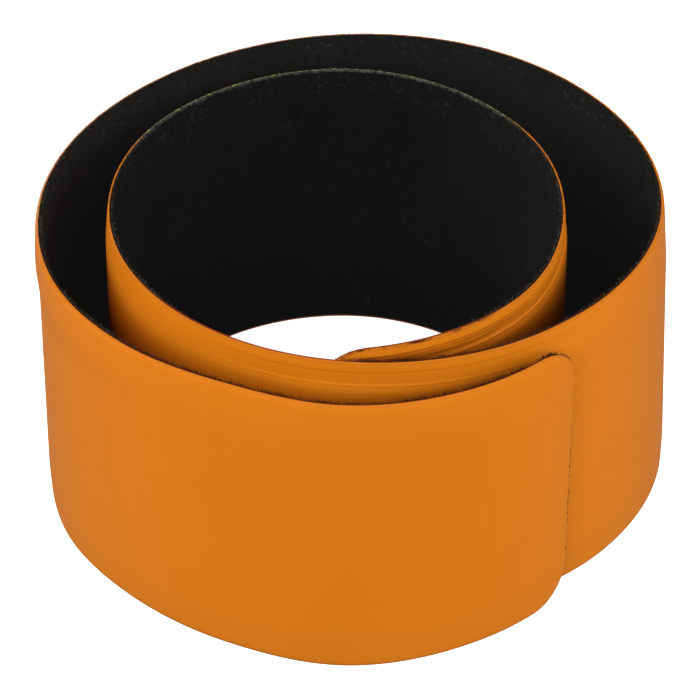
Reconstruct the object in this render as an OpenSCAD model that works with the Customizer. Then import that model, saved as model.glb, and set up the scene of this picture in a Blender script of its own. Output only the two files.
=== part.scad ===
// Slap bracelet: a springy band 30 mm wide, rolled up in a little over two turns and standing
// on its lower edge. Lengths in mm, angles in degrees. The axis of the coil is +Z, the floor is
// z = 0, and -Y is the side with the outer end of the band.
// The wall is a laminate: an orange PVC film outside, a tape of spring steel sealed inside,
// and a black flocked film on the side of the wrist.

/* [Band] */
// width of the band, which is the height of the standing coil
band_width = 30; // [20:0.5:40]
// radius of the four rounded corners at the two ends
corner_radius = 4.5; // [1:0.5:12]
// bearing of the outer end of the band, counted from +X towards +Y
end_bearing = -45.5; // [-90:0.5:0]
// all radii of the coil are multiplied by this
coil_scale = 1; // [0.8:0.01:1.4]

/* [Laminate] */
// thickness of the orange PVC film
film_thick = 0.35; // [0.2:0.01:0.8]
// thickness of the black flocked film
flock_thick = 0.40; // [0.2:0.01:1.2]
// thickness of the steel tape
steel_thick = 0.20; // [0.1:0.01:0.4]
// clearance between two layers
layer_gap = 0.05; // [0.02:0.01:0.2]

/* [Edges] */
// margin of the two films outside the steel tape
margin = 2.3; // [1:0.1:6]
// distance of the weld line from the edge
weld_in = 1.0; // [0.5:0.1:2]
// depth of the weld line
weld_depth = 0.08; // [0:0.01:0.2]
// how far the edge of the steel shows as a ridge in the film
ridge = 0.06; // [0:0.01:0.2]
// distance of the steel tape from the two ends of the band
steel_inset = 4; // [2:0.5:10]
// depth below the upper edge down to which the wall keeps its full flare
flare_rim = 3.4; // [1:0.1:6]
// depth below the upper edge at which the flare has run out
flare_height = 6; // [4:0.5:10]

/* [Steps] */
// number of stations along the band between its two rounded ends
station_count = 94; // [40:1:200]
// number of stations round each corner
corner_steps = 5; // [3:1:10]

/* [Hidden] */

// The coil as it was read along the band, from the outer end to the inner end.
// turned: how far the band has wound. radius: from the axis to the joint of the two films at
// the upper edge. foot: how far the lower edge stands out beyond that. flare: how much of the
// radius belongs to the flare at the upper edge.
TURNED = 0; RADIUS = 1; FOOT = 2; FLARE = 3;
coil = [
    [  0, 28.75, -0.45, 0.00],
    [ 22, 29.80, -0.20, 0.00],
    [ 45, 30.12,  0.45, 0.00],
    [ 67, 29.00,  0.57, 0.00],
    [ 90, 29.25, -0.10, 0.05],
    [112, 29.48,  0.00, 0.15],
    [135, 29.18,  0.05, 0.30],
    [180, 28.95,  0.10, 0.10],
    [225, 30.07,  0.10, 0.00],
    [247, 30.43,  0.30, 0.00],
    [270, 30.23,  0.70, -0.10],
    [315, 29.14,  0.60, -0.10],
    [345, 27.22,  0.45, 0.00],
    [360, 26.20,  0.30, 0.00],
    [405, 23.76,  0.00, 0.00],
    [450, 22.51,  0.00, 0.00],
    [495, 22.59,  0.00, 0.00],
    [540, 23.61,  0.00, 0.00],
    [585, 23.68, -0.05, 0.00],
    [630, 21.39,  0.00, 0.00],
    [675, 19.93,  0.00, 0.00],
    [720, 20.87,  0.00, 0.00],
    [750, 21.56,  0.00, 0.00],
    [763, 21.93,  0.00, 0.00],
    [772, 22.03, 0.00, 0.00]
];
last = len(coil) - 1;
wound = coil[last][TURNED];

function row_of(t, i = 0) = (i >= last - 1 || coil[i + 1][TURNED] > t) ? i : row_of(t, i + 1);
function slope(i, c) =
    let (a = max(i - 1, 0), b = min(i + 1, last))
    (coil[b][c] - coil[a][c]) / (coil[b][TURNED] - coil[a][TURNED]);
// a column of the table read smoothly at any wound angle
function reading(t, c) =
    let (i = row_of(t), h = coil[i + 1][TURNED] - coil[i][TURNED], u = (t - coil[i][TURNED]) / h)
    (2 * u * u * u - 3 * u * u + 1) * coil[i][c] + (u * u * u - 2 * u * u + u) * h * slope(i, c)
    + (3 * u * u - 2 * u * u * u) * coil[i + 1][c] + (u * u * u - u * u) * h * slope(i + 1, c);

// the middle of the coil's outline lies on the axis
middle = [0.35, -0.19];
function radius_at(t) = coil_scale * reading(t, RADIUS);
function point_at(t) =
    radius_at(t) * [cos(end_bearing - t), sin(end_bearing - t)] - coil_scale * middle;
function outward_at(t) =
    let (d = point_at(t - 1) - point_at(t + 1), n = norm(d)) [d[1] / n, -d[0] / n];

// wound angle of a point that lies s mm from the outer end, or s mm before the inner end
function near_outer(s) = s / radius_at(0) * 180 / PI;
function near_inner(s) = wound - s / radius_at(wound) * 180 / PI;

// Stations: [wound angle, distance from the nearer end, drop of the outline at a corner]
function corner_row(a, inner) =
    let (s = corner_radius * (1 - cos(a)))
    [inner ? near_inner(s) : near_outer(s), s, corner_radius * (1 - sin(a))];
corner_turn = 90 / corner_steps;
first_t = near_outer(corner_radius);
last_t = near_inner(corner_radius);
stations = concat(
    [for (a = [0 : corner_turn : 89]) corner_row(a, false)],
    [for (i = [0 : station_count])
        [first_t + (last_t - first_t) * i / station_count, corner_radius, 0]],
    [for (a = [90 - corner_turn : -corner_turn : -1]) corner_row(a, true)]
);

// the steel tape has its own, shorter row of stations
steel_first = near_outer(steel_inset);
steel_last = near_inner(steel_inset);
steel_stations = concat(
    [[steel_first, 0, 1.5], [steel_first + 1, 0, 0.5]],
    [for (s = stations) if (s[0] > steel_first + 2 && s[0] < steel_last - 2) [s[0], 0, 0]],
    [[steel_last - 1, 0, 0.5], [steel_last, 0, 1.5]]
);

// Profiles: [height above the lower edge or below the upper edge, offset from the joint,
// extra offset where the steel lies under the film]
half_gap = layer_gap / 2;
// the two films are swept this much too low and then cut level, as the band is cut
trim = 0.06;
lift = steel_thick / 2 + layer_gap - half_gap;
film_out = half_gap + film_thick;
film_side = [
    [-trim, 0.12, 0], [0.10, film_out - 0.08, 0], [0.30, film_out, 0],
    [weld_in - 0.2, film_out, 0], [weld_in, film_out - weld_depth, 0],
    [weld_in + 0.2, film_out, 0], [margin - 0.2, film_out, 0],
    [margin + 0.3, film_out, lift + ridge], [margin + 1.1, film_out, lift],
    [flare_height, film_out, lift]
];
film_back = [[-trim, half_gap, 0], [margin - 0.3, half_gap, 0], [margin + 0.1, half_gap, lift],
    [flare_height, half_gap, lift]];
flock_out = half_gap + flock_thick;
flock_side = [
    [-trim, -0.18, 0], [0.12, -(flock_out - 0.06), 0], [0.35, -flock_out, 0],
    [margin - 0.2, -flock_out, 0], [margin + 0.4, -flock_out, -lift],
    [flare_height, -flock_out, -lift]
];
flock_back = [[-trim, -half_gap, 0], [margin - 0.3, -half_gap, 0],
    [margin + 0.1, -half_gap, -lift], [flare_height, -half_gap, -lift]];
steel_side = [[margin + 0.15, steel_thick / 2, 0], [flare_height, steel_thick / 2, 0]];
steel_back = [for (p = steel_side) [p[0], -p[1], 0]];

function turned_round(list) = [for (i = [len(list) - 1 : -1 : 0]) list[i]];
function lifted(s) = max(0, min(1, (s - margin) / 0.6));
// one point of the wall: station s, profile row p, on the lower or on the upper half
function wall_point(s, p, upper) =
    let (
        t = s[0],
        z = upper ? band_width - max(p[0], 0) - s[2] : p[0] + s[2],
        down = 1 - z / band_width,
        below = max(0, min(1, (band_width - z - flare_rim) / (flare_height - flare_rim))),
        off = p[1] + p[2] * lifted(s[1])
            + reading(t, FOOT) * down - reading(t, FLARE) * below,
        flat = point_at(t) + outward_at(t) * off
    )
    [flat[0], flat[1], z];
// both halves of a profile at one station: the side away from the axis, then the one near it
function column(s, side) = concat(
    [for (p = side) wall_point(s, p, false)],
    [for (p = turned_round(side)) wall_point(s, p, true)]
);
// the two columns of an end are joined rung by rung, always by the shorter rung
function rungs(far, near, i = 0, k = 0) =
    let (top_i = len(far) - 1, top_k = len(near) - 1)
    (i == top_i && k == top_k) ? [] :
    (k == top_k || (i < top_i
        && abs(far[i + 1][2] - near[k][2]) <= abs(near[k + 1][2] - far[i][2])))
        ? concat([[i, i + 1, len(far) + k]], rungs(far, near, i + 1, k))
        : concat([[i, len(far) + k + 1, len(far) + k]], rungs(far, near, i, k + 1));

// A band of one layer: columns of points joined from station to station. The diagonals run
// upwards along the band on both of its sides, so that the layers stay parallel.
module layer(rows, far_side, near_side) {
    far = [for (s = rows) column(s, far_side)];
    near = [for (s = rows) column(s, near_side)];
    nf = len(far[0]);
    n = nf + len(near[0]);
    m = len(rows);
    loop = concat([for (j = [0 : nf - 1]) j], [for (j = [n - 1 : -1 : nf]) j]);
    polyhedron(
        points = [for (i = [0 : m - 1]) each concat(far[i], near[i])],
        faces = concat(
            [for (r = rungs(far[0], near[0])) r],
            [for (i = [0 : m - 2], j = [0 : n - 1])
                let (a = i * n + loop[j], b = i * n + loop[(j + 1) % n])
                each j < nf ? [[a, a + n, b + n], [a, b + n, b]]
                    : [[a, a + n, b], [a + n, b + n, b]]],
            [for (r = rungs(far[m - 1], near[m - 1])) [for (j = [2 : -1 : 0]) (m - 1) * n + r[j]]]
        )
    );
}

module backing() {
    color([0.10, 0.10, 0.10])
        difference() {
            layer(stations, flock_back, flock_side);
            translate([-80, -80, -5]) cube([160, 160, 5]);
        }
}

module spring() {
    color([0.70, 0.71, 0.73])
        layer(steel_stations, steel_side, steel_back);
}

module face() {
    color([0.84, 0.48, 0.11])
        difference() {
            layer(stations, film_side, film_back);
            translate([-80, -80, -5]) cube([160, 160, 5]);
        }
}

backing();
spring();
face();
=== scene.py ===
import math

import bpy
from mathutils import Matrix, Vector


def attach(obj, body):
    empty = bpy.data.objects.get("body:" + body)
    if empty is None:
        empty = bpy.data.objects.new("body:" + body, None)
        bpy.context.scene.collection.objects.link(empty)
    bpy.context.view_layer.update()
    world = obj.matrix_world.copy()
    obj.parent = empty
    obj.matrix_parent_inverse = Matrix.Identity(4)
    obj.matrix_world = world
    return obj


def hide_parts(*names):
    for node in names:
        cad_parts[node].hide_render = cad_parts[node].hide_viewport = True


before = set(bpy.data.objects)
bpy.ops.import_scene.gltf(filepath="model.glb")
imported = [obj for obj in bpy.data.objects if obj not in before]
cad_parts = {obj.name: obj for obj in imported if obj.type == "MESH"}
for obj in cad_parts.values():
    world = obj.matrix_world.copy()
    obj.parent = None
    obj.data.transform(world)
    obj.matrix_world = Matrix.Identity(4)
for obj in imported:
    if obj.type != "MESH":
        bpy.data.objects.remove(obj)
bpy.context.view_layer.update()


# The camera: it looks down on the standing coil from the side of the band's outer end, with a
# long lens from a little way off, as the photograph does.
mm = 0.001
view_elevation = 37.0
view_roll = -0.36
view_distance = 420 * mm
view_target = Vector((-0.46, -1.97, 15.0)) * mm
lens_length = 226.2

down_the_lens = Matrix.Rotation(math.radians(90 - view_elevation), 4, "X")
lens_roll = Matrix.Rotation(math.radians(view_roll), 4, "Z")
camera_data = bpy.data.cameras.new("camera")
camera_data.lens = lens_length
camera_data.sensor_width = 36
camera = bpy.data.objects.new("camera", camera_data)
camera.matrix_world = (
    Matrix.Translation(view_target)
    @ down_the_lens
    @ lens_roll
    @ Matrix.Translation((0, 0, view_distance))
)
bpy.context.scene.collection.objects.link(camera)
bpy.context.scene.camera = camera
bpy.context.scene.view_settings.view_transform = "Standard"


# The stage: a plain white table that glows a little, as a light table does, so that it is
# white in the coil's hollow too, and soft light from boxes all round and from a pale room.
def linear(hex_colour):
    """An sRGB hex colour as linear red, green, blue and alpha."""
    parts = [int(hex_colour[i:i + 2], 16) / 255 for i in (1, 3, 5)]
    return tuple(c / 12.92 if c <= 0.04045 else ((c + 0.055) / 1.055) ** 2.4 for c in parts) + (1,)


def add(tree, kind, inputs=None, **settings):
    """A new node with its settings. inputs gives each socket a value, the output of another node,
    or another node, and then the first of its outputs that is in use is linked."""
    made = tree.nodes.new(kind)
    for name, value in settings.items():
        setattr(made, name, value)
    for socket, value in (inputs or {}).items():
        if isinstance(value, bpy.types.Node):
            value = next(output for output in value.outputs if output.enabled)
        if isinstance(value, bpy.types.NodeSocket):
            tree.links.new(value, made.inputs[socket])
        else:
            made.inputs[socket].default_value = value
    return made


def new_material(name):
    """An empty material, with its node tree and its output node."""
    made = bpy.data.materials.new(name)
    made.use_nodes = True
    made.node_tree.nodes.clear()
    return made, made.node_tree, add(made.node_tree, "ShaderNodeOutputMaterial")


table_size = 3.0
table_drop = 0.02 * mm
table_mesh = bpy.data.meshes.new("table")
table_mesh.from_pydata(
    [(x * table_size / 2, y * table_size / 2, -table_drop) for x, y in
     ((-1, -1), (1, -1), (1, 1), (-1, 1))],
    [], [(0, 1, 2, 3)])
table = bpy.data.objects.new("table", table_mesh)
table.visible_diffuse = False
table.visible_glossy = False
bpy.context.scene.collection.objects.link(table)

white_acrylic, tree, output = new_material("white_acrylic")
surface = add(tree, "ShaderNodeBsdfPrincipled", {
    "Base Color": linear("#EDEDED"),
    "Roughness": 0.6,
    "Specular IOR Level": 0.1,
    "Emission Color": linear("#FFFFFF"),
    "Emission Strength": 1.0,
})
tree.links.new(surface.outputs[0], output.inputs[0])
table_mesh.materials.append(white_acrylic)


# the boxes stand this far from the middle of the coil, and face it at half the band's height
box_distance = 0.9
box_aim = Matrix.Translation((0, 0, 15 * mm))


def soft_box(name, bearing, elevation, size, power):
    """A rectangular light that faces the middle of the coil."""
    data = bpy.data.lights.new(name, "AREA")
    data.shape = "RECTANGLE"
    data.size, data.size_y = size
    data.energy = power
    made = bpy.data.objects.new(name, data)
    turned = Matrix.Rotation(math.radians(bearing), 4, "Z")
    raised = Matrix.Rotation(math.radians(90 - elevation), 4, "X")
    made.matrix_world = box_aim @ turned @ raised @ Matrix.Translation((0, 0, box_distance))
    bpy.context.scene.collection.objects.link(made)


soft_box("front_box", 2, 34, (0.9, 0.26), 6.2)
soft_box("left_box", -80, 45, (0.6, 0.5), 5.1)
soft_box("right_box", 70, 24, (0.6, 0.4), 3.0)
soft_box("left_fill", -105, 26, (0.5, 0.3), 2.25)
soft_box("right_fill", 105, 26, (0.5, 0.3), 2.25)
soft_box("back_box", 180, 20, (0.9, 0.4), 2.2)

# the walls of the room: a little dimmer above, where the boxes take over
world = bpy.data.worlds.new("studio")
world.use_nodes = True
tree = world.node_tree
way = add(tree, "ShaderNodeSeparateXYZ", {0: add(tree, "ShaderNodeTexCoord").outputs["Generated"]})
height = add(tree, "ShaderNodeMapRange", {
    "Value": way.outputs["Z"], "From Min": -0.2, "From Max": 0.2, "To Min": 0.24, "To Max": 0.2})
tree.links.new(height.outputs[0], tree.nodes["Background"].inputs["Strength"])
tree.nodes["Background"].inputs["Color"].default_value = linear("#FFFFFF")
bpy.context.scene.world = world


# The spring: a tape of hardened steel 0.2 mm thick, rolled and ground, which snaps the band
# round the wrist. It lies sealed between the two films and stays as the CAD node.
def spring_steel():
    """Bright steel strip: rolling marks run along the tape and smear its reflection."""
    made, tree, output = new_material("rolled_spring_steel")
    place = add(tree, "ShaderNodeTexCoord")
    mark_length, mark_width = 12.0, 0.15
    stretched = add(tree, "ShaderNodeMapping", {
        "Vector": place.outputs["Object"],
        "Scale": (1 / (mark_length * mm), 1 / (mark_length * mm), 1 / (mark_width * mm))})
    marks = add(tree, "ShaderNodeTexNoise", {"Vector": stretched, "Scale": 1.0, "Detail": 3.0})
    tone = add(tree, "ShaderNodeMix", {
        0: marks.outputs["Fac"], 6: linear("#A3A6AA"), 7: linear("#C3C5C8")}, data_type="RGBA")
    dull = add(tree, "ShaderNodeMapRange", {
        "Value": marks.outputs["Fac"], "To Min": 0.22, "To Max": 0.42})
    relief = add(tree, "ShaderNodeBump", {
        "Height": marks.outputs["Fac"], "Strength": 0.3, "Distance": 0.004 * mm})
    steel = add(tree, "ShaderNodeBsdfPrincipled", {
        "Base Color": tone, "Metallic": 1.0, "Roughness": dull, "Normal": relief})
    tree.links.new(steel.outputs[0], output.inputs[0])
    return made


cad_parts["spring"].data.materials.clear()
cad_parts["spring"].data.materials.append(spring_steel())


# The face: a strip of orange PVC film with rounded ends, welded to the backing all round a
# little inside its cut edge. The steel's edges press a ridge into it. It is cut flat and
# then rolled up along the coil.
band_width = 30.0
corner_radius = 4.5
end_bearing = -45.5
coil_middle = (0.35, -0.19)
# How far the band has wound in degrees; then in mm the radius at its upper edge, how far its
# foot stands out beyond that, and the flare of its upper edge; then the share of the weld's and
# the steel's relief that shows, which is most where the band is wound tightest.
coil = [
    (0, 28.75, -0.45, 0.00, 0.00),
    (22, 29.80, -0.20, 0.00, 0.00),
    (45, 30.12, 0.45, 0.00, 0.05),
    (67, 29.00, 0.57, 0.00, 0.05),
    (90, 29.25, -0.10, 0.05, 0.05),
    (112, 29.48, 0.00, 0.15, 0.05),
    (135, 29.18, 0.05, 0.30, 0.05),
    (180, 28.95, 0.10, 0.10, 0.05),
    (225, 30.07, 0.10, 0.00, 0.05),
    (247, 30.43, 0.30, 0.00, 0.05),
    (270, 30.23, 0.70, -0.10, 0.05),
    (315, 29.14, 0.60, -0.10, 0.05),
    (345, 27.22, 0.45, 0.00, 0.08),
    (360, 26.20, 0.30, 0.00, 0.30),
    (405, 23.76, 0.00, 0.00, 0.42),
    (450, 22.51, 0.00, 0.00, 0.00),
    (495, 22.59, 0.00, 0.00, 0.00),
    (540, 23.61, 0.00, 0.00, 0.30),
    (585, 23.68, -0.05, 0.00, 0.50),
    (630, 21.39, 0.00, 0.00, 0.70),
    (675, 19.93, 0.00, 0.00, 1.00),
    (720, 20.87, 0.00, 0.00, 1.20),
    (750, 21.56, 0.00, 0.00, 1.50),
    (763, 21.93, 0.00, 0.00, 1.50),
    (772, 22.03, 0.00, 0.00, 1.50),
]
flare_rim = 3.4
flare_height = 6.0


# How far the band has wound; then how much the flock's cut edge frays there, how bare the olive
# glue lies and how far the orange has bled into the cut, as shares of one.
wear = [
    (0, 0.9, 0.0, 0.1),
    (45, 1.0, 0.0, 0.1),
    (75, 0.85, 0.0, 0.1),
    (100, 0.7, 0.0, 0.1),
    (135, 0.6, 0.0, 0.0),
    (225, 0.25, 0.0, 0.0),
    (270, 0.25, 0.0, 0.0),
    (300, 0.55, 0.0, 0.0),
    (345, 0.5, 0.0, 0.1),
    (366, 0.4, 0.0, 0.2),
    (385, 1.0, 0.0, 0.1),
    (400, 0.8, 0.0, 0.3),
    (410, 0.05, 0.0, 1.0),
    (440, 0.05, 0.0, 0.8),
    (465, 0.5, 0.0, 0.1),
    (500, 0.45, 0.0, 0.0),
    (518, 0.3, 0.1, 0.0),
    (530, 0.4, 1.0, 0.0),
    (560, 0.5, 1.0, 0.0),
    (600, 0.4, 1.0, 0.0),
    (628, 0.5, 1.0, 0.0),
    (640, 0.5, 0.2, 0.0),
    (660, 0.45, 0.0, 0.0),
    (720, 0.4, 0.0, 0.1),
    (740, 0.1, 0.0, 0.7),
    (772, 0.05, 0.0, 0.9),
]


def slope(table, i, column):
    """The slope of a table's column at row i, from the rows on both sides of it."""
    a, b = max(i - 1, 0), min(i + 1, len(table) - 1)
    return (table[b][column] - table[a][column]) / (table[b][0] - table[a][0])


def reading(table, turned, column):
    """A column of a table read smoothly at any wound angle."""
    i = max(0, min(len(table) - 2, sum(row[0] <= turned for row in table) - 1))
    h = table[i + 1][0] - table[i][0]
    u = (turned - table[i][0]) / h
    return ((2 * u**3 - 3 * u**2 + 1) * table[i][column]
            + (u**3 - 2 * u**2 + u) * h * slope(table, i, column)
            + (3 * u**2 - 2 * u**3) * table[i + 1][column]
            + (u**3 - u**2) * h * slope(table, i + 1, column))


def coil_point(turned):
    """Where the joint of the two films runs, seen from above, in mm."""
    a = math.radians(end_bearing - turned)
    r = reading(coil, turned, 1)
    return Vector((r * math.cos(a) - coil_middle[0], r * math.sin(a) - coil_middle[1], 0))


def coil_guide(step=0.5):
    """The joint of the films as a line of points that carry the way outwards, lean and wear."""
    count = round(coil[-1][0] / step)
    turns = [coil[-1][0] * i / count for i in range(count + 1)]
    line = [coil_point(t) for t in turns]
    mesh = bpy.data.meshes.new("coil_guide")
    mesh.from_pydata([p * mm for p in line], [(i, i + 1) for i in range(count)], [])
    outward = mesh.attributes.new("outward", "FLOAT_VECTOR", "POINT")
    lean = mesh.attributes.new("lean", "FLOAT_VECTOR", "POINT")
    worn = mesh.attributes.new("wear", "FLOAT_VECTOR", "POINT")
    for i, t in enumerate(turns):
        along = (coil_point(t - 1) - coil_point(t + 1)).normalized()
        outward.data[i].vector = (along.y, -along.x, 0)
        lean.data[i].vector = (
            reading(coil, t, 2) * mm, reading(coil, t, 3) * mm, reading(coil, t, 4))
        worn.data[i].vector = [max(0.0, min(1.0, reading(wear, t, column))) for column in (1, 2, 3)]
    made = bpy.data.objects.new("coil_guide", mesh)
    bpy.context.scene.collection.objects.link(made)
    return made, sum((line[i + 1] - line[i]).length for i in range(count))


guide, band_length = coil_guide()

# the two sides of a film are joined where their points lie this close, along the cut edge
joined_within = 0.0005
# how far in from an edge the flat cut has a row of points, close together where the section bends
rows_in = [0, 0.02, 0.05, 0.09, 0.14, 0.2, 0.3, 0.45, 0.6, 0.8, 0.9, 1.0, 1.1, 1.2, 1.4, 1.7, 2.0,
           2.2, 2.3, 2.4, 2.5, 2.6, 2.7, 2.85, 3.1, 3.5, 4.2, 5.0, 6.0]
rows_middle = [8.0, 10.5, 12.8, 15.0]


def flat_cut(name, step=0.7):
    """The band laid out flat: length along X from the outer end, height along Y, corners round."""
    near_end = [s for s in rows_in if s < corner_radius] + [corner_radius]
    plain = band_length - 2 * corner_radius
    count = round(plain / step)
    stations = (near_end + [corner_radius + plain * i / count for i in range(1, count)]
                + [band_length - s for s in reversed(near_end)])
    half = band_width / 2
    columns = []
    for s in stations:
        into = corner_radius - min(s, band_length - s, corner_radius)
        drop = corner_radius - math.sqrt(max(0.0, corner_radius**2 - into**2))
        squeeze = (half - drop - rows_in[-1]) / (half - rows_in[-1])
        up = [drop + r for r in rows_in] + [
            half - (half - r) * squeeze for r in rows_middle]
        columns.append(up + [band_width - h for h in reversed(up[:-1])])
    rows = len(columns[0])
    mesh = bpy.data.meshes.new(name)
    mesh.from_pydata(
        [(s * mm, h * mm, 0) for s, column in zip(stations, columns) for h in column], [],
        [(i * rows + j, (i + 1) * rows + j, (i + 1) * rows + j + 1, i * rows + j + 1)
         for i in range(len(stations) - 1) for j in range(rows - 1)])
    made = bpy.data.objects.new(name, mesh)
    bpy.context.scene.collection.objects.link(made)
    return made


def rolling_tree(name, section):
    """A tree that rolls a flat cut up along the coil and gives it the thickness of section,
    which has rows of the distance in from the edge, the side away from the axis and the side
    near it, and may have the far side of the tight turns and what is pressed into that, all in
    mm. It closes both sides along the cut edge."""
    tree = bpy.data.node_groups.new(name, "GeometryNodeTree")
    socket = tree.interface.new_socket
    socket("Geometry", in_out="INPUT", socket_type="NodeSocketGeometry")
    socket("Coil", in_out="INPUT", socket_type="NodeSocketObject")
    for size in ("Length", "Width", "Corner", "Flare Rim", "Flare Height", "Loose Until",
                 "Tight From"):
        socket(size, in_out="INPUT", socket_type="NodeSocketFloat")
    socket("Material", in_out="INPUT", socket_type="NodeSocketMaterial")
    socket("Geometry", in_out="OUTPUT", socket_type="NodeSocketGeometry")
    given = add(tree, "NodeGroupInput").outputs
    place = add(tree, "ShaderNodeSeparateXYZ", {0: add(tree, "GeometryNodeInputPosition")}).outputs

    def beyond_corner(at, size):
        """How far past the start of the round corner a place lies, on either side of the middle."""
        half = add(tree, "ShaderNodeMath", {0: size, 1: 0.5}, operation="MULTIPLY")
        from_middle = add(tree, "ShaderNodeMath", {0: at, 1: half}, operation="SUBTRACT")
        from_middle = add(tree, "ShaderNodeMath", {0: from_middle}, operation="ABSOLUTE")
        corner = add(tree, "ShaderNodeMath", {0: half, 1: given["Corner"]}, operation="SUBTRACT")
        return add(tree, "ShaderNodeMath", {0: from_middle, 1: corner}, operation="SUBTRACT")

    # how far in from the cut edge each point lies, also round the corners
    past = [beyond_corner(place["X"], given["Length"]), beyond_corner(place["Y"], given["Width"])]
    squares = []
    for reach in past:
        outside = add(tree, "ShaderNodeMath", {0: reach, 1: 0.0}, operation="MAXIMUM")
        squares.append(add(tree, "ShaderNodeMath", {0: outside, 1: 2.0}, operation="POWER"))
    round_part = add(tree, "ShaderNodeMath", {0: squares[0], 1: squares[1]}, operation="ADD")
    round_part = add(tree, "ShaderNodeMath", {0: round_part}, operation="SQRT")
    straight_part = add(tree, "ShaderNodeMath", {0: past[0], 1: past[1]}, operation="MAXIMUM")
    straight_part = add(tree, "ShaderNodeMath", {0: straight_part, 1: 0.0}, operation="MINIMUM")
    outwards = add(tree, "ShaderNodeMath", {0: round_part, 1: straight_part}, operation="ADD")
    inset = add(tree, "ShaderNodeMath", {0: given["Corner"], 1: outwards}, operation="SUBTRACT")
    inset = add(tree, "ShaderNodeMath", {0: inset, 1: 0.0}, operation="MAXIMUM")

    line = add(tree, "GeometryNodeMeshToCurve", {
        "Mesh": add(tree, "GeometryNodeObjectInfo", {"Object": given["Coil"]}).outputs["Geometry"]})

    def read_line(attribute):
        """A reading of the coil guide as far along it as each point lies along the band."""
        value = add(tree, "GeometryNodeInputNamedAttribute", {"Name": attribute},
                    data_type="FLOAT_VECTOR")
        return add(tree, "GeometryNodeSampleCurve", {
            "Curves": line, "Value": value, "Length": place["X"]}, data_type="FLOAT_VECTOR", mode="LENGTH")

    outward = read_line("outward")
    lean = add(tree, "ShaderNodeSeparateXYZ", {0: read_line("lean").outputs["Value"]}).outputs
    up_share = add(tree, "ShaderNodeMath", {0: place["Y"], 1: given["Width"]}, operation="DIVIDE")
    down_share = add(tree, "ShaderNodeMath", {0: 1.0, 1: up_share}, operation="SUBTRACT")
    foot = add(tree, "ShaderNodeMath", {0: lean["X"], 1: down_share}, operation="MULTIPLY")
    depth = add(tree, "ShaderNodeMath", {0: given["Width"], 1: place["Y"]}, operation="SUBTRACT")
    below = add(tree, "ShaderNodeMapRange", {
        "Value": depth, "From Min": given["Flare Rim"], "From Max": given["Flare Height"]})
    flare = add(tree, "ShaderNodeMath", {0: lean["Y"], 1: below}, operation="MULTIPLY")
    wall_lean = add(tree, "ShaderNodeMath", {0: foot, 1: flare}, operation="SUBTRACT")

    kept = add(tree, "GeometryNodeStoreNamedAttribute", {
        "Geometry": given["Geometry"], "Name": "inset", "Value": inset}, data_type="FLOAT", domain="POINT")
    kept = add(tree, "GeometryNodeStoreNamedAttribute", {
        "Geometry": kept, "Name": "along", "Value": place["X"]}, data_type="FLOAT", domain="POINT")
    kept = add(tree, "GeometryNodeStoreNamedAttribute", {
        "Geometry": kept, "Name": "wear", "Value": read_line("wear").outputs["Value"]},
        data_type="FLOAT_VECTOR", domain="POINT")
    u = add(tree, "ShaderNodeMath", {0: place["X"], 1: given["Length"]}, operation="DIVIDE")
    v = add(tree, "ShaderNodeMath", {0: place["Y"], 1: given["Length"]}, operation="DIVIDE")
    flat_place = add(tree, "ShaderNodeCombineXYZ", {0: u, 1: v})
    kept = add(tree, "GeometryNodeStoreNamedAttribute", {
        "Geometry": kept, "Name": "UVMap", "Value": flat_place}, data_type="FLOAT2", domain="CORNER")

    def read_section(column):
        """A column of the section read at each point's distance in from the cut edge."""
        reach = section[-1][0]
        share = add(tree, "ShaderNodeMath", {0: inset, 1: reach * mm}, operation="DIVIDE")
        curve = add(tree, "ShaderNodeFloatCurve", {"Value": share})
        mapping = curve.mapping
        mapping.clip_min_y = -1
        points = mapping.curves[0].points
        for row in section[1:-1]:
            points.new(row[0] / reach, row[column])
        points[0].location = (0, section[0][column])
        points[-1].location = (1, section[-1][column])
        for point in points:
            point.handle_type = "VECTOR"
        mapping.update()
        return add(tree, "ShaderNodeMath", {0: curve, 1: mm}, operation="MULTIPLY")

    sides = []
    for column in (1, 2):
        offset = add(tree, "ShaderNodeMath", {0: read_section(column), 1: wall_lean}, operation="ADD")
        if column == 1 and len(section[0]) > 3:
            tight = add(tree, "ShaderNodeMapRange", {
                "Value": place["X"], "From Min": given["Loose Until"], "From Max": given["Tight From"]})
            drawn_in = add(tree, "ShaderNodeMath", {
                0: read_section(3), 1: read_section(1)}, operation="SUBTRACT")
            offset = add(tree, "ShaderNodeMath", {
                0: drawn_in, 1: tight, 2: offset}, operation="MULTIPLY_ADD")
            offset = add(tree, "ShaderNodeMath", {
                0: read_section(4), 1: lean["Z"], 2: offset}, operation="MULTIPLY_ADD")
        pushed = add(tree, "ShaderNodeVectorMath", {
            0: outward.outputs["Value"], "Scale": offset}, operation="SCALE")
        flat = add(tree, "ShaderNodeVectorMath", {0: outward.outputs["Position"], 1: pushed})
        risen = add(tree, "ShaderNodeVectorMath", {
            0: flat, 1: add(tree, "ShaderNodeCombineXYZ", {2: place["Y"]})})
        side = add(tree, "GeometryNodeSetPosition", {"Geometry": kept, "Position": risen})
        if column == 1:
            side = add(tree, "GeometryNodeFlipFaces", {"Mesh": side})
        sides.append(side)
    both = add(tree, "GeometryNodeJoinGeometry")
    for side in reversed(sides):
        tree.links.new(side.outputs[0], both.inputs[0])
    closed = add(tree, "GeometryNodeMergeByDistance", {
        "Geometry": both, "Distance": joined_within * mm})
    smooth = add(tree, "GeometryNodeSetShadeSmooth", {"Geometry": closed})
    real = add(tree, "GeometryNodeRealizeInstances", {"Geometry": smooth})
    finished = add(tree, "GeometryNodeSetMaterial", {"Geometry": real, "Material": given["Material"]})
    add(tree, "NodeGroupOutput", {0: finished})
    return tree


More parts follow.
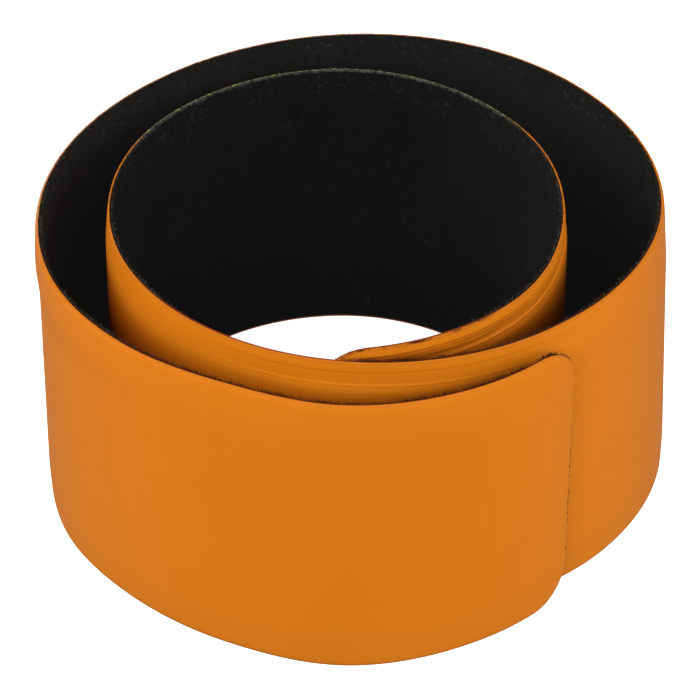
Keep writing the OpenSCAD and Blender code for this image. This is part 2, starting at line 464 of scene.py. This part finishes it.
def made_by(tree, piece, **values):
    """Runs a tree on a piece with these inputs, and leaves the result as the piece's plain mesh."""
    modifier = piece.modifiers.new(tree.name, "NODES")
    modifier.node_group = tree
    for item in tree.interface.items_tree:
        if item.in_out == "INPUT" and item.name.replace(" ", "_").lower() in values:
            modifier[item.identifier] = values[item.name.replace(" ", "_").lower()]
    bpy.context.view_layer.update()
    evaluated = piece.evaluated_get(bpy.context.evaluated_depsgraph_get())
    mesh = bpy.data.meshes.new_from_object(evaluated)
    mesh.name = piece.name
    piece.modifiers.clear()
    piece.data = mesh
    return piece


# distance in from the edge, outer side, side on the joint; then for the inner turns, where the
# margins are drawn in, the outer side again and what is pressed into it: the weld at 1 mm, the
# fold beside the steel tape and the tape's edge at 2.5 mm
face_section = [
    (0.00, 0.085, 0.085, 0.085, 0.00),
    (0.02, 0.145, 0.045, 0.130, 0.00),
    (0.05, 0.190, 0.028, 0.160, 0.00),
    (0.09, 0.230, 0.025, 0.182, 0.00),
    (0.20, 0.290, 0.025, 0.210, 0.00),
    (0.45, 0.348, 0.025, 0.250, 0.00),
    (0.90, 0.388, 0.025, 0.299, 0.00),
    (1.00, 0.394, 0.025, 0.308, -0.04),
    (1.10, 0.400, 0.025, 0.317, -0.11),
    (1.20, 0.405, 0.025, 0.325, -0.08),
    (1.70, 0.429, 0.025, 0.370, -0.12),
    (2.00, 0.443, 0.025, 0.395, -0.15),
    (2.20, 0.452, 0.080, 0.413, -0.17),
    (2.30, 0.456, 0.115, 0.422, -0.17),
    (2.40, 0.460, 0.150, 0.430, -0.03),
    (2.50, 0.465, 0.150, 0.438, -0.09),
    (2.60, 0.469, 0.150, 0.446, -0.10),
    (2.85, 0.478, 0.150, 0.464, -0.05),
    (3.10, 0.486, 0.150, 0.480, 0.00),
    (3.50, 0.494, 0.150, 0.493, 0.00),
    (4.20, 0.500, 0.150, 0.500, 0.00),
    (6.00, 0.500, 0.150, 0.500, 0.00),
]


# the pitch of a wave texture at a scale of one, and how far in mm the turns shade each other
wave_pitch = math.pi / 10
shade_reach = 25


def orange_pvc():
    """Soft calendered PVC film: glossy but not glassy, with a fine pressed lattice and faint
    drawn streaks, and duller and darker where it was cut. Its colour also holds painted shade
    on the rim beside the cut, between the turns and near the inner end, and painted light at
    the back of the cut."""
    made, tree, output = new_material("calendered_pvc_film")
    flat = add(tree, "ShaderNodeUVMap", uv_map="UVMap")
    in_mm = add(tree, "ShaderNodeMapping", {"Vector": flat, "Scale": (band_length, band_length, 1)})

    def crossed_lines(*sets):
        """Two sets of fine lines, each with its angle and its pitch in mm, crossed to dots."""
        waves = []
        for turn, pitch in sets:
            turned = add(tree, "ShaderNodeMapping", {
                "Vector": in_mm, "Rotation": (0, 0, math.radians(turn))})
            waves.append(add(tree, "ShaderNodeTexWave", {
                "Vector": turned, "Scale": wave_pitch / pitch}).outputs["Fac"])
        return add(tree, "ShaderNodeMath", {0: waves[0], 1: waves[1]}, operation="MULTIPLY")

    # the pressed lattice has diamonds of 0.22 by 0.34 mm and is drawn at that size; where its
    # dots show, they are drawn about a quarter coarser
    crossed = crossed_lines((32, 0.184), (-32, 0.184))
    dots = crossed_lines((52, 0.284), (-32, 0.190))
    drawn = add(tree, "ShaderNodeMapping", {"Vector": in_mm, "Scale": (0.02, 1.6, 1)})
    streaks = add(tree, "ShaderNodeTexNoise", {"Vector": drawn, "Scale": 1.0, "Detail": 3.0})
    patches = add(tree, "ShaderNodeTexNoise", {"Vector": in_mm, "Scale": 0.08, "Detail": 2.0})
    tone = add(tree, "ShaderNodeMix", {
        0: patches.outputs["Fac"], 6: linear("#D77811"), 7: linear("#DA7B15")}, data_type="RGBA")
    inset = add(tree, "ShaderNodeAttribute", attribute_name="inset")
    # the cut's own darker tone, spread 0.35 mm in over the rounded rim as painted shade there
    cut_and_painted_shade = add(tree, "ShaderNodeMapRange", {
        "Value": inset.outputs["Fac"], "From Min": 0.03 * mm, "From Max": 0.35 * mm,
        "To Min": 1.0, "To Max": 0.0})
    # at the back of the inner turn olive glue covers the cut and a little more, in smears with a
    # few greener drops
    worn = add(tree, "ShaderNodeSeparateXYZ", {
        0: add(tree, "ShaderNodeAttribute", attribute_name="wear").outputs["Vector"]}).outputs
    covered = add(tree, "ShaderNodeMapRange", {
        "Value": inset.outputs["Fac"], "From Min": 0.14 * mm, "From Max": 0.2 * mm,
        "To Min": 1.0, "To Max": 0.0})
    covered = add(tree, "ShaderNodeMath", {0: covered, 1: worn["Y"]}, operation="MULTIPLY")
    flat_at = add(tree, "ShaderNodeSeparateXYZ", {0: in_mm}).outputs
    off_end = add(tree, "ShaderNodeMapRange", {
        "Value": flat_at["X"], "From Min": 0.3, "From Max": 3.0, "To Min": 0.2})
    cut_and_painted_shade = add(tree, "ShaderNodeMath", {0: cut_and_painted_shade, 1: off_end}, operation="MULTIPLY")
    cut_and_painted_shade = add(tree, "ShaderNodeMath", {0: cut_and_painted_shade, 1: covered}, operation="MAXIMUM")
    smears = add(tree, "ShaderNodeTexNoise", {"Vector": in_mm, "Scale": 2.2, "Detail": 2.0})
    smeared = add(tree, "ShaderNodeMapRange", {
        "Value": smears.outputs["Fac"], "From Min": 0.4, "From Max": 0.6})
    drops = add(tree, "ShaderNodeTexNoise", {
        "Vector": in_mm, "Scale": 0.7, "Detail": 3.0, "Roughness": 0.7})
    dropped = add(tree, "ShaderNodeMapRange", {
        "Value": drops.outputs["Fac"], "From Min": 0.55, "From Max": 0.63})
    glue = add(tree, "ShaderNodeMix", {
        0: smeared, 6: linear("#33352A"), 7: linear("#6C6F50")}, data_type="RGBA")
    glue = add(tree, "ShaderNodeMix", {0: dropped, 6: glue, 7: linear("#93A046")}, data_type="RGBA")
    # painted light: the cut at the back of the outer turn is painted paler and pinker, for the table's
    # light passing through it
    back_starts = add(tree, "ShaderNodeMapRange", {
        "Value": flat_at["X"], "From Min": 60.0, "From Max": 80.0})
    back_ends = add(tree, "ShaderNodeMapRange", {
        "Value": flat_at["X"], "From Min": 120.0, "From Max": 145.0, "To Min": 1.0, "To Max": 0.0})
    painted_backlight = add(tree, "ShaderNodeMath", {0: back_starts, 1: back_ends}, operation="MULTIPLY")
    bare = add(tree, "ShaderNodeMix", {
        0: painted_backlight, 6: linear("#BA660F"), 7: linear("#C48A68")}, data_type="RGBA")
    bare = add(tree, "ShaderNodeMix", {0: worn["Y"], 6: bare, 7: glue}, data_type="RGBA")
    edged = add(tree, "ShaderNodeMix", {0: cut_and_painted_shade, 6: tone, 7: bare}, data_type="RGBA")

    # flock dust sticks in short dashes to the cut at the outer end, most of it low down
    dashes = add(tree, "ShaderNodeTexNoise", {
        "Vector": in_mm, "Scale": 1.4, "Detail": 3.0, "Roughness": 0.8})
    high_up = add(tree, "ShaderNodeMapRange", {
        "Value": flat_at["Y"], "From Min": 20.0, "From Max": 26.0, "To Min": 0.0, "To Max": 0.08})
    dashes = add(tree, "ShaderNodeMath", {0: dashes.outputs["Fac"], 1: high_up}, operation="SUBTRACT")
    dashed = add(tree, "ShaderNodeMapRange", {"Value": dashes, "From Min": 0.55, "From Max": 0.57})
    by_end = add(tree, "ShaderNodeMath", {0: flat_at["X"], 1: 0.4}, operation="LESS_THAN")
    dust = add(tree, "ShaderNodeMath", {0: dashed, 1: by_end}, operation="MULTIPLY")
    # and in longer ones to the cut beside the inner end
    long_way = add(tree, "ShaderNodeMapping", {"Vector": in_mm, "Scale": (0.22, 1, 1)})
    long_dashes = add(tree, "ShaderNodeTexNoise", {
        "Vector": long_way, "Scale": 2.0, "Detail": 3.0, "Roughness": 0.7})
    long_dashed = add(tree, "ShaderNodeMapRange", {
        "Value": long_dashes.outputs["Fac"], "From Min": 0.45, "From Max": 0.6})
    past_tip = add(tree, "ShaderNodeMapRange", {
        "Value": flat_at["X"], "From Min": 328.0, "From Max": 334.0})
    on_cut = add(tree, "ShaderNodeMapRange", {
        "Value": inset.outputs["Fac"], "From Min": 0.1 * mm, "From Max": 0.2 * mm,
        "To Min": 1.0, "To Max": 0.0})
    beside_end = add(tree, "ShaderNodeMath", {0: past_tip, 1: on_cut}, operation="MULTIPLY")
    long_dashed = add(tree, "ShaderNodeMath", {0: long_dashed, 1: beside_end}, operation="MULTIPLY")
    dust = add(tree, "ShaderNodeMath", {0: dust, 1: long_dashed}, operation="MAXIMUM")
    edged = add(tree, "ShaderNodeMix", {0: dust, 6: edged, 7: linear("#4A1400")}, data_type="RGBA")
    # near the inner end the margin is painted darker in thin streaks: the dust on it, with painted shade
    # of that margin
    along_band = add(tree, "ShaderNodeMapping", {"Vector": in_mm, "Scale": (0.12, 3.5, 1)})
    streaky = add(tree, "ShaderNodeTexNoise", {"Vector": along_band, "Scale": 1.0, "Detail": 3.0})
    dust_and_painted_shade = add(tree, "ShaderNodeMapRange", {
        "Value": streaky.outputs["Fac"], "From Min": 0.36, "From Max": 0.6,
        "To Min": 0.15, "To Max": 0.75})
    past_weld = add(tree, "ShaderNodeMapRange", {
        "Value": inset.outputs["Fac"], "From Min": 0.95 * mm, "From Max": 1.4 * mm})
    before_steel = add(tree, "ShaderNodeMapRange", {
        "Value": inset.outputs["Fac"], "From Min": 2.2 * mm, "From Max": 2.4 * mm,
        "To Min": 1.0, "To Max": 0.0})
    near_end = add(tree, "ShaderNodeMapRange", {
        "Value": flat_at["X"], "From Min": 312.0, "From Max": 335.0})
    margin = add(tree, "ShaderNodeMath", {0: past_weld, 1: before_steel}, operation="MULTIPLY")
    end_margin = add(tree, "ShaderNodeMath", {0: margin, 1: near_end}, operation="MULTIPLY")
    dust_and_painted_shade = add(tree, "ShaderNodeMath", {0: dust_and_painted_shade, 1: end_margin}, operation="MULTIPLY")
    edged = add(tree, "ShaderNodeMix", {0: dust_and_painted_shade, 6: edged, 7: linear("#7A3A06")}, data_type="RGBA")
    # painted shade: the film is painted a deep red where two turns shade each other, for the shade there
    # and for the redder light that has passed through the film
    shade = add(tree, "ShaderNodeAmbientOcclusion", {
        "Distance": shade_reach * mm}, samples=8, only_local=True)
    painted_crevice_shade = add(tree, "ShaderNodeMapRange", {
        "Value": shade.outputs["AO"], "From Min": 0.05, "From Max": 0.2,
        "To Min": 1.0, "To Max": 0.0})
    tone_with_painted_shade = add(tree, "ShaderNodeMix", {0: painted_crevice_shade, 6: edged, 7: linear("#D84A03")}, data_type="RGBA")
    # and the pits of the lattice are painted as darker dots where the turns half shade each other, most of
    # all at the front left: the lattice's own dots with painted shade in them
    painted_half_shade = add(tree, "ShaderNodeMapRange", {
        "Value": shade.outputs["AO"], "From Min": 0.2, "From Max": 0.5,
        "To Min": 0.75, "To Max": 0.0})
    dots_start = add(tree, "ShaderNodeMapRange", {
        "Value": flat_at["X"], "From Min": 207.0, "From Max": 214.0, "To Min": 0.1})
    dots_end = add(tree, "ShaderNodeMapRange", {
        "Value": flat_at["X"], "From Min": 221.0, "From Max": 229.0, "To Min": 1.0, "To Max": 0.1})
    at_front = add(tree, "ShaderNodeMath", {0: dots_start, 1: dots_end}, operation="MULTIPLY")
    pit_dots_and_painted_shade = add(tree, "ShaderNodeMath", {0: painted_half_shade, 1: at_front}, operation="MULTIPLY")
    pit_dots_and_painted_shade = add(tree, "ShaderNodeMath", {0: pit_dots_and_painted_shade, 1: dots}, operation="MULTIPLY")
    # painted shade: the inner end is the most hidden of all, so its wall is painted darker below the
    # steel's edge
    painted_end_shade = add(tree, "ShaderNodeMapRange", {
        "Value": shade.outputs["AO"], "From Min": 0.15, "From Max": 0.8,
        "To Min": 0.62, "To Max": 0.0})
    inner_end = add(tree, "ShaderNodeMapRange", {
        "Value": flat_at["X"], "From Min": 292.0, "From Max": 306.0})
    below_ridge = add(tree, "ShaderNodeMapRange", {
        "Value": inset.outputs["Fac"], "From Min": 2.2 * mm, "From Max": 2.8 * mm})
    end_wall = add(tree, "ShaderNodeMath", {0: inner_end, 1: below_ridge}, operation="MULTIPLY")
    painted_end_shade = add(tree, "ShaderNodeMath", {0: painted_end_shade, 1: end_wall}, operation="MULTIPLY")
    tone_with_painted_shade = add(tree, "ShaderNodeMix", {
        0: painted_end_shade, 6: tone_with_painted_shade, 7: linear("#803402")}, data_type="RGBA")
    tone_with_painted_shade = add(tree, "ShaderNodeMix", {
        0: pit_dots_and_painted_shade, 6: tone_with_painted_shade, 7: linear("#3A1400")}, data_type="RGBA")
    dull = add(tree, "ShaderNodeMapRange", {
        "Value": streaks.outputs["Fac"], "To Min": 0.36, "To Max": 0.46})
    matt = add(tree, "ShaderNodeMath", {0: cut_and_painted_shade, 1: dust}, operation="MAXIMUM")
    dull = add(tree, "ShaderNodeMix", {0: matt, 2: dull, 3: 0.95}, data_type="FLOAT")
    coarse = add(tree, "ShaderNodeBump", {
        "Height": streaks.outputs["Fac"], "Strength": 0.5, "Distance": 0.01 * mm})
    fine = add(tree, "ShaderNodeBump", {
        "Height": crossed, "Strength": 0.4, "Distance": 0.014 * mm, "Normal": coarse})
    film = add(tree, "ShaderNodeBsdfPrincipled", {
        "Base Color": tone_with_painted_shade, "Roughness": dull, "Specular IOR Level": 0.16, "Normal": fine})
    tree.links.new(film.outputs[0], output.inputs[0])
    return made


film_sizes = {
    "coil": guide, "length": band_length * mm, "width": band_width * mm,
    "corner": corner_radius * mm, "flare_rim": flare_rim * mm, "flare_height": flare_height * mm,
    "loose_until": 165 * mm, "tight_from": 190 * mm,
}
face = made_by(rolling_tree("roll_face", face_section), flat_cut("face_film"),
               material=orange_pvc(), **film_sizes)
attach(face, "root")
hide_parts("face")


# The backing: a thin film flocked with short black nylon fibre on the side of the wrist, cut to
# the same outline as the face and welded to it.
backing_section = [
    (0.00, -0.100, -0.100),
    (0.02, -0.055, -0.150),
    (0.05, -0.030, -0.170),
    (0.09, -0.025, -0.190),
    (0.30, -0.025, -0.240),
    (0.60, -0.025, -0.290),
    (1.20, -0.025, -0.360),
    (2.00, -0.025, -0.440),
    (2.40, -0.150, -0.475),
    (3.10, -0.150, -0.525),
    (4.20, -0.150, -0.550),
    (6.00, -0.150, -0.550),
]


def black_flock():
    """Short black nylon pile: it drinks the light, with faint mottling and pale specks near its
    cut edge, where the olive glue shows as a thin line at the back of the inner turn. It has a
    faint painted glow, painted shade in the hollow and a painted light line along its lower edge."""
    made, tree, output = new_material("black_nylon_flock")
    place = add(tree, "ShaderNodeTexCoord")
    patches = add(tree, "ShaderNodeTexNoise", {
        "Vector": place.outputs["Object"], "Scale": 1 / (5.0 * mm), "Detail": 4.0})
    # the fibres are 0.02 mm thick; they are drawn as tufts of 0.12 mm, so that they show
    tufts = add(tree, "ShaderNodeTexNoise", {
        "Vector": place.outputs["Object"], "Scale": 1 / (0.12 * mm), "Detail": 2.0})
    # painted shade: the pile of the inner turn, which lines the coil's hollow, is painted blacker, up to
    # where the turns rub together
    along = add(tree, "ShaderNodeAttribute", attribute_name="along")
    on_inner_turn = add(tree, "ShaderNodeMapRange", {
        "Value": along.outputs["Fac"], "From Min": 190 * mm, "From Max": 250 * mm})
    raised = add(tree, "ShaderNodeMapRange", {
        "Value": along.outputs["Fac"], "From Min": 283 * mm, "From Max": 308 * mm,
        "To Min": 0.0, "To Max": 0.9})
    painted_hollow_shade = add(tree, "ShaderNodeMath", {0: on_inner_turn, 1: raised}, operation="SUBTRACT")
    loose = add(tree, "ShaderNodeMix", {
        0: patches.outputs["Fac"], 6: linear("#101010"), 7: linear("#171716")}, data_type="RGBA")
    flat = add(tree, "ShaderNodeMix", {
        0: patches.outputs["Fac"], 6: linear("#080808"), 7: linear("#0E0E0E")}, data_type="RGBA")
    tone = add(tree, "ShaderNodeMix", {0: painted_hollow_shade, 6: loose, 7: flat}, data_type="RGBA")
    # rubbed places, where the pile leans another way, look a little paler
    marks = add(tree, "ShaderNodeTexNoise", {
        "Vector": place.outputs["Object"], "Scale": 1 / (2.4 * mm), "Detail": 2.0, "Distortion": 1.6})
    marked = add(tree, "ShaderNodeMapRange", {
        "Value": marks.outputs["Fac"], "From Min": 0.62, "From Max": 0.78,
        "To Min": 0.0, "To Max": 0.2})
    tone = add(tree, "ShaderNodeMix", {0: marked, 6: tone, 7: linear("#2A2B28")}, data_type="RGBA")
    inset = add(tree, "ShaderNodeAttribute", attribute_name="inset")
    # dust and loosened fibres: faint pale specks, most of them close to the cut edge
    specks = add(tree, "ShaderNodeTexNoise", {
        "Vector": place.outputs["Object"], "Scale": 1 / (0.6 * mm), "Detail": 6.0, "Roughness": 0.75})
    speckled = add(tree, "ShaderNodeMapRange", {
        "Value": specks.outputs["Fac"], "From Min": 0.55, "From Max": 0.85})
    by_edge = add(tree, "ShaderNodeMapRange", {
        "Value": inset.outputs["Fac"], "From Min": 0.1 * mm, "From Max": 4.0 * mm,
        "To Min": 1.0, "To Max": 0.12})
    drifts = add(tree, "ShaderNodeMapRange", {
        "Value": patches.outputs["Fac"], "From Min": 0.4, "From Max": 0.65,
        "To Min": 0.3, "To Max": 1.6})
    dusty = add(tree, "ShaderNodeMath", {0: speckled, 1: by_edge}, operation="MULTIPLY")
    dusty = add(tree, "ShaderNodeMath", {0: dusty, 1: drifts}, operation="MULTIPLY", use_clamp=True)
    near_edge = add(tree, "ShaderNodeMix", {0: dusty, 6: tone, 7: linear("#444640")}, data_type="RGBA")
    # the rim itself is a cut through the glue: black, brown where it is torn, olive where bare
    rim = add(tree, "ShaderNodeMapRange", {
        "Value": inset.outputs["Fac"], "From Min": 0.08 * mm, "From Max": 0.2 * mm,
        "To Min": 1.0, "To Max": 0.0})
    worn = add(tree, "ShaderNodeSeparateXYZ", {
        0: add(tree, "ShaderNodeAttribute", attribute_name="wear").outputs["Vector"]}).outputs
    patchy = add(tree, "ShaderNodeMapRange", {
        "Value": specks.outputs["Fac"], "From Min": 0.42, "From Max": 0.6})
    bare = add(tree, "ShaderNodeMix", {
        0: patchy, 6: linear("#171815"), 7: linear("#4C4E46")}, data_type="RGBA")
    torn = add(tree, "ShaderNodeMapRange", {"Value": worn["X"], "From Min": 0.7, "From Max": 0.85})
    rim_tone = add(tree, "ShaderNodeMix", {
        0: torn, 6: linear("#14120C"), 7: linear("#4A1A05")}, data_type="RGBA")
    rim_tone = add(tree, "ShaderNodeMix", {0: worn["Y"], 6: rim_tone, 7: bare}, data_type="RGBA")
    rim_tone = add(tree, "ShaderNodeMix", {
        0: worn["Z"], 6: rim_tone, 7: linear("#8A3A14")}, data_type="RGBA")
    edged = add(tree, "ShaderNodeMix", {0: rim, 6: near_edge, 7: rim_tone}, data_type="RGBA")
    # painted light: the lower edge is painted a pale orange, as if it caught the orange of the film under
    # it
    height = add(tree, "ShaderNodeSeparateXYZ", {0: place.outputs["Object"]}).outputs["Z"]
    painted_lower_edge_light = add(tree, "ShaderNodeMapRange", {
        "Value": height, "From Min": 0.1 * mm, "From Max": 0.3 * mm, "To Min": 1.0, "To Max": 0.0})
    edged = add(tree, "ShaderNodeMix", {0: painted_lower_edge_light, 6: edged, 7: linear("#D87850")}, data_type="RGBA")
    relief = add(tree, "ShaderNodeBump", {
        "Height": tufts.outputs["Fac"], "Strength": 0.8, "Distance": 0.06 * mm})
    # the pile is given a faint glow: painted light that lifts its shaded parts
    pile = add(tree, "ShaderNodeBsdfPrincipled", {
        "Base Color": edged, "Roughness": 1.0, "Specular IOR Level": 0.02,
        "Emission Color": linear("#FFFFFF"), "Emission Strength": 0.0034, "Normal": relief})
    tree.links.new(pile.outputs[0], output.inputs[0])
    return made


backing = made_by(rolling_tree("roll_backing", backing_section), flat_cut("flocked_backing"),
                  material=black_flock(), **film_sizes)
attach(backing, "root")
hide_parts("backing")
bpy.data.objects.remove(guide)


# The loose pile: along the cut edge the flock frays into short fibres that stand out past the
# rim. Half of them are dark brown, the others olive or grey with glue.
clump_edge = 0.12  # how much of the noise that places a clump its edge thins out over
missing_at_end = 0.94  # share of the fibres that is missing from the band's outer end
tip_share = 0.3  # thickness of a fibre's tip as a share of its root's
bend_share = 0.35  # how far a fibre's tip leans over, as a share of its length


def fibre_tree():
    """A tree that scatters short bent fibres over a mesh, near its cut edge and in clumps."""
    tree = bpy.data.node_groups.new("scatter_fibres", "GeometryNodeTree")
    socket = tree.interface.new_socket
    socket("Geometry", in_out="INPUT", socket_type="NodeSocketGeometry")
    for size in ("Density", "Edge Band", "Bare End", "Least Height", "Facing", "Clump Size",
                 "Clump Gap", "Least Fray", "Shortest", "Longest", "Slimness", "Spread", "Lift"):
        socket(size, in_out="INPUT", socket_type="NodeSocketFloat")
    socket("Seed", in_out="INPUT", socket_type="NodeSocketInt")
    socket("Material", in_out="INPUT", socket_type="NodeSocketMaterial")
    socket("Geometry", in_out="OUTPUT", socket_type="NodeSocketGeometry")
    given = add(tree, "NodeGroupInput").outputs

    place = add(tree, "GeometryNodeInputPosition")
    height = add(tree, "ShaderNodeSeparateXYZ", {0: place}).outputs["Z"]
    level = add(tree, "ShaderNodeVectorMath", {0: place, 1: (1, 1, 0)}, operation="MULTIPLY")
    from_axis = add(tree, "ShaderNodeVectorMath", {0: level}, operation="NORMALIZE")
    facing = add(tree, "ShaderNodeVectorMath", {
        0: add(tree, "GeometryNodeInputNormal"), 1: from_axis}, operation="DOT_PRODUCT")
    inset = add(tree, "GeometryNodeInputNamedAttribute", {"Name": "inset"}, data_type="FLOAT")
    along = add(tree, "GeometryNodeInputNamedAttribute", {"Name": "along"}, data_type="FLOAT")
    per_metre = add(tree, "ShaderNodeMath", {0: 1.0, 1: given["Clump Size"]}, operation="DIVIDE")
    clumps = add(tree, "ShaderNodeTexNoise", {"Vector": place, "Scale": per_metre}).outputs["Fac"]
    full_from = add(tree, "ShaderNodeMath", {0: given["Clump Gap"], 1: clump_edge}, operation="ADD")
    share = add(tree, "ShaderNodeMapRange", {
        "Value": clumps, "From Min": given["Clump Gap"], "From Max": full_from})
    # hardly any stand along the straight part of the band's outer end
    at_end = add(tree, "ShaderNodeMath", {0: along, 1: given["Bare End"]}, operation="LESS_THAN")
    missing = add(tree, "ShaderNodeMath", {0: at_end, 1: missing_at_end}, operation="MULTIPLY")
    present = add(tree, "ShaderNodeMath", {0: 1.0, 1: missing}, operation="SUBTRACT")
    share = add(tree, "ShaderNodeMath", {0: share, 1: present}, operation="MULTIPLY")
    worn = add(tree, "GeometryNodeInputNamedAttribute", {"Name": "wear"}, data_type="FLOAT_VECTOR")
    frayed = add(tree, "ShaderNodeSeparateXYZ", {0: worn}).outputs["X"]
    frayed = add(tree, "ShaderNodeMath", {0: frayed, 1: given["Least Fray"]}, operation="MAXIMUM")
    share = add(tree, "ShaderNodeMath", {0: share, 1: frayed}, operation="MULTIPLY")
    for measure, test, limit in ((inset, "LESS_THAN", "Edge Band"),
                                 (height, "GREATER_THAN", "Least Height"),
                                 (facing, "LESS_THAN", "Facing")):
        met = add(tree, "ShaderNodeMath", {0: measure, 1: given[limit]}, operation=test)
        share = add(tree, "ShaderNodeMath", {0: share, 1: met}, operation="MULTIPLY")
    density = add(tree, "ShaderNodeMath", {0: share, 1: given["Density"]}, operation="MULTIPLY")
    points = add(tree, "GeometryNodeDistributePointsOnFaces", {
        "Mesh": given["Geometry"], "Density": density, "Seed": given["Seed"]})

    # one fibre: a three-sided cone of unit length that bends over towards its tip
    tip = add(tree, "ShaderNodeMath", {0: given["Slimness"], 1: tip_share}, operation="MULTIPLY")
    fibre = add(tree, "GeometryNodeMeshCone", {
        "Vertices": 3, "Side Segments": 2, "Radius Top": tip, "Radius Bottom": given["Slimness"],
        "Depth": 1.0})
    up_it = add(tree, "ShaderNodeSeparateXYZ", {0: place}).outputs["Z"]
    bend = add(tree, "ShaderNodeMath", {0: up_it, 1: up_it}, operation="MULTIPLY")
    bend = add(tree, "ShaderNodeMath", {0: bend, 1: bend_share}, operation="MULTIPLY")
    bend = add(tree, "ShaderNodeCombineXYZ", {0: bend})
    bent = add(tree, "GeometryNodeSetPosition", {"Geometry": fibre.outputs["Mesh"], "Offset": bend})

    stray = add(tree, "FunctionNodeRandomValue", {
        0: (-1, -1, -1), 1: (1, 1, 1), "Seed": given["Seed"]}, data_type="FLOAT_VECTOR")
    strayed = add(tree, "ShaderNodeVectorMath", {0: stray, "Scale": given["Spread"]}, operation="SCALE")
    lifted = add(tree, "ShaderNodeCombineXYZ", {2: given["Lift"]})
    way = add(tree, "ShaderNodeVectorMath", {0: points.outputs["Normal"], 1: strayed})
    way = add(tree, "ShaderNodeVectorMath", {0: way, 1: lifted})
    aligned = add(tree, "FunctionNodeAlignRotationToVector", {"Vector": way}, axis="Z")
    spin = add(tree, "FunctionNodeRandomValue", {
        0: (0, 0, 0), 1: (0, 0, math.tau), "Seed": given["Seed"]}, data_type="FLOAT_VECTOR")
    spun = add(tree, "FunctionNodeRotateRotation", {
        0: aligned, 1: add(tree, "FunctionNodeEulerToRotation", {0: spin})}, rotation_space="LOCAL")
    chance = add(tree, "FunctionNodeRandomValue", {
        2: 0.0, 3: 1.0, "Seed": given["Seed"]}, data_type="FLOAT")
    chance = add(tree, "ShaderNodeMath", {0: chance, 1: 2.0}, operation="POWER")
    length = add(tree, "ShaderNodeMapRange", {
        "Value": chance, "To Min": given["Shortest"], "To Max": given["Longest"]})
    planted = add(tree, "GeometryNodeInstanceOnPoints", {
        "Points": points.outputs["Points"], "Instance": bent, "Rotation": spun, "Scale": length})
    tone_seed = add(tree, "ShaderNodeMath", {0: given["Seed"], 1: 7}, operation="ADD")
    tone = add(tree, "FunctionNodeRandomValue", {2: 0.0, 3: 1.0, "Seed": tone_seed}, data_type="FLOAT")
    toned = add(tree, "GeometryNodeStoreNamedAttribute", {
        "Geometry": planted, "Name": "tone", "Value": tone}, data_type="FLOAT", domain="INSTANCE")
    real = add(tree, "GeometryNodeRealizeInstances", {"Geometry": toned})
    finished = add(tree, "GeometryNodeSetMaterial", {"Geometry": real, "Material": given["Material"]})
    add(tree, "NodeGroupOutput", {0: finished})
    return tree


def loose_fibre(name, tones):
    """Nylon fibre whose colour steps through tones, each with the share at which it starts."""
    made, tree, output = new_material(name)
    tone = add(tree, "ShaderNodeAttribute", attribute_name="tone")
    ramp = add(tree, "ShaderNodeValToRGB", {"Fac": tone.outputs["Fac"]})
    ramp.color_ramp.interpolation = "CONSTANT"
    ramp.color_ramp.elements.remove(ramp.color_ramp.elements[1])
    ramp.color_ramp.elements[0].color = linear(tones[0][1])
    for start, colour in tones[1:]:
        ramp.color_ramp.elements.new(start).color = linear(colour)
    # where the edge is frayed most, the fibres are all of the darkest tone
    worn = add(tree, "ShaderNodeSeparateXYZ", {
        0: add(tree, "ShaderNodeAttribute", attribute_name="wear").outputs["Vector"]}).outputs
    dark = add(tree, "ShaderNodeMapRange", {"Value": worn["X"], "From Min": 0.7, "From Max": 0.85})
    colour = add(tree, "ShaderNodeMix", {
        0: dark, 6: ramp.outputs["Color"], 7: linear(tones[0][1])}, data_type="RGBA")
    nylon = add(tree, "ShaderNodeBsdfPrincipled", {
        "Base Color": colour, "Roughness": 0.7, "Specular IOR Level": 0.1})
    tree.links.new(nylon.outputs[0], output.inputs[0])
    return made


def on_backing(name):
    """A new object with a copy of the backing's mesh, for a tree to scatter fibres on."""
    made = bpy.data.objects.new(name, backing.data.copy())
    bpy.context.scene.collection.objects.link(made)
    return made


scatter = fibre_tree()
fray = made_by(
    scatter, on_backing("frayed_flock"), density=360 / mm**2, edge_band=0.14 * mm,
    bare_end=0.5 * mm, least_height=0.5 * mm, facing=0.7, clump_size=0.6 * mm, clump_gap=0.41,
    least_fray=0.0, shortest=0.06 * mm, longest=0.38 * mm, slimness=0.09, spread=0.8, lift=0.9,
    seed=11, material=loose_fibre("frayed_nylon_pile", [
        (0, "#381404"), (0.50, "#33351C"), (0.70, "#4C4D48")]))
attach(fray, "root")

# Lint: stray paler fibres that cling to the flock, most of them close to its edge.
lint = made_by(
    scatter, on_backing("lint_on_flock"), density=0.35 / mm**2, edge_band=40 * mm,
    bare_end=0.5 * mm, least_height=0.5 * mm, facing=-0.6, clump_size=6 * mm, clump_gap=0.45,
    least_fray=1.0, shortest=0.1 * mm, longest=0.38 * mm, slimness=0.05, spread=3.0, lift=0.0, seed=23,
    material=loose_fibre("grey_lint", [(0, "#1E1E1C"), (0.6, "#30302E"), (0.9, "#484844")]))
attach(lint, "root")
